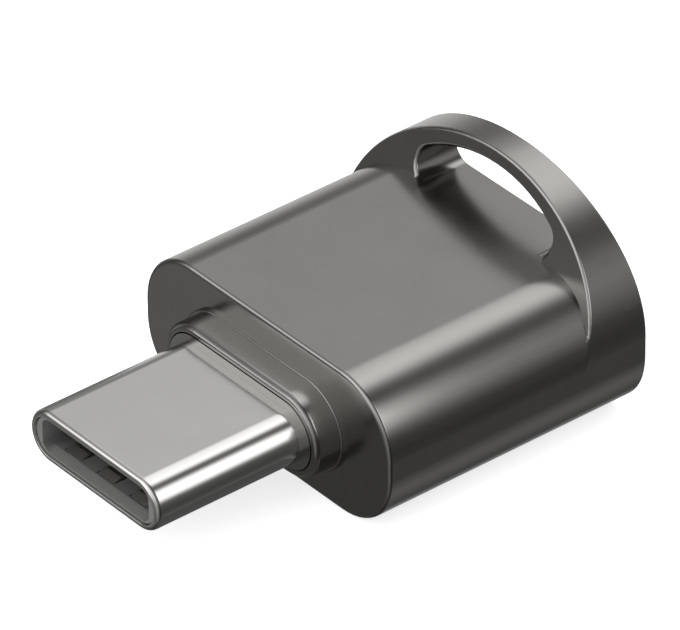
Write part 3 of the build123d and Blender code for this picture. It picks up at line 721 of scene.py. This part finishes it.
print("packed faces", sum(len(node.data.polygons) for node in nodes.values()))

# %% [markdown]
# The case and what fills its two ends
#
# The case is one casting with the collar and the loop. The bezel with the card slot closes its rear. The
# plug's shell and the insulator in its mouth are held by the seal. Their shapes are right as constructed,
# so each is a welded copy.

# %% Case, bezel and plug
dressed("housing", "case_shell", gunmetal, "case_metal")
dressed("rear_bezel", "card_slot_bezel", moulding, "black_plastic")
dressed("plug_shell", "plug_steel_shell", plug_steel, "plug_steel")
dressed("plug_insulator", "plug_insulator_moulding", grey_moulding, "grey_plastic")

# %% [markdown]
# The seal round the plug
#
# The seal is pressed over the shell and into the collar until its front is level with the collar's lip.
# The constructed ring has a small clearance round the plug, which would show as a black line, and it stops
# just short of the lip. In the copy each point of the bore slides straight towards the middle line of the
# plug, until only a hair's breadth is left, and the points of the front slide forward.

# %% Seal with a snug bore
BORE_REACH = 0.05 * MM  # points of the ring closer to the plug than this belong to its bore
BORE_GAP = 0.002 * MM
FRONT_REACH = 0.01 * MM
FRONT_SHIFT = 0.12 * MM


def fit_seal(ring):
    low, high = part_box("plug_shell")
    ring_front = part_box("plug_seal")[0][1]
    axis = (low[2] + high[2]) / 2
    radius = (high[2] - low[2]) / 2
    straight = (high[0] - low[0]) / 2 - radius
    for vertex in ring.data.vertices:
        middle = Vector((max(-straight, min(straight, vertex.co.x)), vertex.co.y, axis))
        off = vertex.co - middle
        if off.length < radius + BORE_REACH:
            vertex.co = middle + off * (radius + BORE_GAP) / off.length
        if vertex.co.y < ring_front + FRONT_REACH:
            vertex.co.y -= FRONT_SHIFT
    return min(vertex.co.y for vertex in ring.data.vertices)


seal = dressed("plug_seal", "plug_seal_ring", seal_plating, "seal_plating")
print("front of the seal at mm", round(fit_seal(seal) / MM, 3))

# %% [markdown]
# Rows of bent strips
#
# The contacts of the plug and of the card socket, and the legs of the controller, are strips of sheet
# metal, stamped, bent and set side by side. They could be modelled once and copied with an Array
# modifier. Geometry Nodes suit them better, because a strip is only a path with a small rectangle drawn
# along it: the tree rounds the path's bends, gives it its section, repeats it along a line and makes the
# copies real.

# %% A tree that makes a row of strips
STRIP_INPUTS = {"Geometry": "NodeSocketGeometry", "Count": "NodeSocketInt", "Step": "NodeSocketVector",
                "Width": "NodeSocketFloat", "Thickness": "NodeSocketFloat", "Bend": "NodeSocketFloat",
                "Finish": "NodeSocketMaterial"}
BEND_STEPS = 4


def make_strip_tree():
    tree = bpy.data.node_groups.new("row_of_strips", "GeometryNodeTree")
    tree.is_modifier = True
    for name, kind in STRIP_INPUTS.items():
        tree.interface.new_socket(name, in_out="INPUT", socket_type=kind)
    tree.interface.new_socket("Geometry", in_out="OUTPUT", socket_type="NodeSocketGeometry")
    given = {name: Signal(add_node(tree, "NodeGroupInput").outputs[name]) for name in STRIP_INPUTS}
    make = given["Geometry"].node
    path = make("GeometryNodeMeshToCurve", None, {"Mesh": given["Geometry"]})
    path = make("GeometryNodeFilletCurve", {"mode": "POLY"}, {
        "Curve": path, "Count": BEND_STEPS, "Radius": given["Bend"], "Limit Radius": True})
    path = make("GeometryNodeSetCurveNormal", {"mode": "Z_UP"}, {"Curve": path})
    section = make("GeometryNodeCurvePrimitiveQuadrilateral", {"mode": "RECTANGLE"}, {
        "Width": given["Width"], "Height": given["Thickness"]})
    strip = make("GeometryNodeCurveToMesh", None, {
        "Curve": path, "Profile Curve": section, "Fill Caps": True})
    first = make("ShaderNodeVectorMath", {"operation": "SCALE"}, {
        0: given["Step"], "Scale": (given["Count"] - 1) * -0.5})
    line = make("GeometryNodeMeshLine", {"mode": "OFFSET"}, {
        "Count": given["Count"], "Start Location": first, "Offset": given["Step"]})
    copies = make("GeometryNodeInstanceOnPoints", None, {"Points": line, "Instance": strip})
    real = make("GeometryNodeRealizeInstances", None, {"Geometry": copies})
    finished = make("GeometryNodeSetMaterial", None, {"Geometry": real, "Material": given["Finish"]})
    add_node(tree, "NodeGroupOutput", None, {"Geometry": finished})
    return tree


strip_tree = make_strip_tree()
print(strip_tree.name, len(strip_tree.nodes), "nodes")

# %% [markdown]
# From a path to a row
#
# A row's path is a chain of points. The modifier's inputs are set before Blender first evaluates the
# object, then the result is copied to a plain mesh, and the chain and its modifier are thrown away.

# %% One row of strips
def strip_row(paths, count, step, width, thickness, bend, finish):
    points, edges = [], []
    for path in paths:
        edges += [(len(points) + i, len(points) + i + 1) for i in range(len(path) - 1)]
        points += path
    chain = bpy.data.meshes.new("strip_path")
    chain.from_pydata(points, edges, [])
    holder = bpy.data.objects.new("strip_path", chain)
    bpy.context.scene.collection.objects.link(holder)
    modifier = holder.modifiers.new("row", "NODES")
    modifier.node_group = strip_tree
    sizes = {"Count": count, "Step": step, "Width": width, "Thickness": thickness, "Bend": bend,
             "Finish": finish}
    for item in strip_tree.interface.items_tree:
        if item.in_out == "INPUT" and item.name in sizes:
            modifier[item.identifier] = sizes[item.name]
    graph = bpy.context.evaluated_depsgraph_get()
    mesh = bpy.data.meshes.new_from_object(holder.evaluated_get(graph), depsgraph=graph)
    holder.modifiers.remove(modifier)
    bpy.data.objects.remove(holder)
    return mesh


def compare_box(mesh, node):
    low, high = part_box(node)
    points = [v.co for v in mesh.vertices]
    off_low = [round((min(p[k] for p in points) - low[k]) / MM, 3) for k in range(3)]
    off_high = [round((max(p[k] for p in points) - high[k]) / MM, 3) for k in range(3)]
    print(node, "low corner off by mm", off_low, "high corner", off_high)


print("row inputs", [item.name for item in strip_tree.interface.items_tree if item.in_out == "INPUT"])

# %% [markdown]
# Contacts of the plug
#
# Twelve strips lie over the plug's axis and twelve under it. Each tip bends away from the tongue of the
# socket, the contact point follows, then a long beam, and a foot that is soldered to the board.

# %% Plug contacts
CONTACT_PATH = ((-7.805, 0.50), (-7.455, 0.38), (-6.605, 0.62),
                (-1.275, 0.62), (-0.675, 0.46), (0.075, 0.46))
CONTACT_STEP = (0.50 * MM, 0.0, 0.0)

for node, side in {"plug_contacts_upper": 1, "plug_contacts_lower": -1}.items():
    points = [(0.0, y * MM, PLUG_AXIS + side * height * MM) for y, height in CONTACT_PATH]
    mesh = strip_row([points], count=12, step=CONTACT_STEP, width=0.25 * MM, thickness=0.12 * MM,
                     bend=0.2 * MM, finish=gold)
    compare_box(mesh, node)
    place_piece(mesh, node.replace("plug", "gold_plug"), gold, "contact_gold", node)

# %% [markdown]
# Contacts of the card socket
#
# Eight wider strips wait over the card's pads. Their bumps reach down into the card's space, and their
# feet are soldered under the board.

# %% Card socket contacts
PAD_PATH = ((0.775, 2.47), (1.275, 2.29), (3.675, 2.73), (4.475, 2.94), (5.275, 2.94))
PAD_STEP = (1.10 * MM, 0.0, 0.0)

points = [(0.0, y * MM, z * MM) for y, z in PAD_PATH]
mesh = strip_row([points], count=8, step=PAD_STEP, width=0.50 * MM, thickness=0.12 * MM,
                 bend=0.2 * MM, finish=gold)
compare_box(mesh, "card_socket_contacts")
place_piece(mesh, "gold_card_contacts", gold, "contact_gold", "card_socket_contacts")

# %% [markdown]
# Legs of the controller
#
# The controller stands on sixteen bent legs, eight a side. Here the tree gets two paths at once, one for
# each side, and repeats both along Y.

# %% Controller legs
LEG_PATH = ((1.95, 4.50), (2.23, 4.50), (2.38, 3.875), (2.93, 3.875))
LEG_ROW = 3.425 * MM
LEG_STEP = (0.0, 0.60 * MM, 0.0)

sides = [[(side * x * MM, LEG_ROW, z * MM) for x, z in LEG_PATH] for side in (-1, 1)]
mesh = strip_row(sides, count=8, step=LEG_STEP, width=0.28 * MM, thickness=0.15 * MM,
                 bend=0.1 * MM, finish=tin)
compare_box(mesh, "controller_leads")
place_piece(mesh, "tinned_controller_legs", tin, "lead_tin", "controller_leads")

# %% [markdown]
# The pieces inside
#
# The rest is hidden or only glimpsed in the mouth and the slot. Each packed piece stays as it is and gets
# the finish of its real material.

# %% Finishes of the inner pieces
INNER = {
    spring_steel: ["plug_latch", "ground_spring_upper", "ground_spring_lower", "card_socket_shield"],
    gold: ["card_detect_spring"],
    tin: ["regulator_leads", "crystal_lid"],
    moulding: ["plug_rear_block", "card_socket_base"],
    epoxy: ["controller_chip", "regulator_body"],
    ceramic: ["crystal_base", "capacitors"],
    film: ["resistors"],
    board: ["circuit_board"],
}
for finish, names in INNER.items():
    for name in names:
        nodes[name].material_slots[0].material = finish
print("inner pieces", sum(len(names) for names in INNER.values()))

# %% [markdown]
# Size of the dressed part
#
# The dressed part has to stay inside the constructed one.
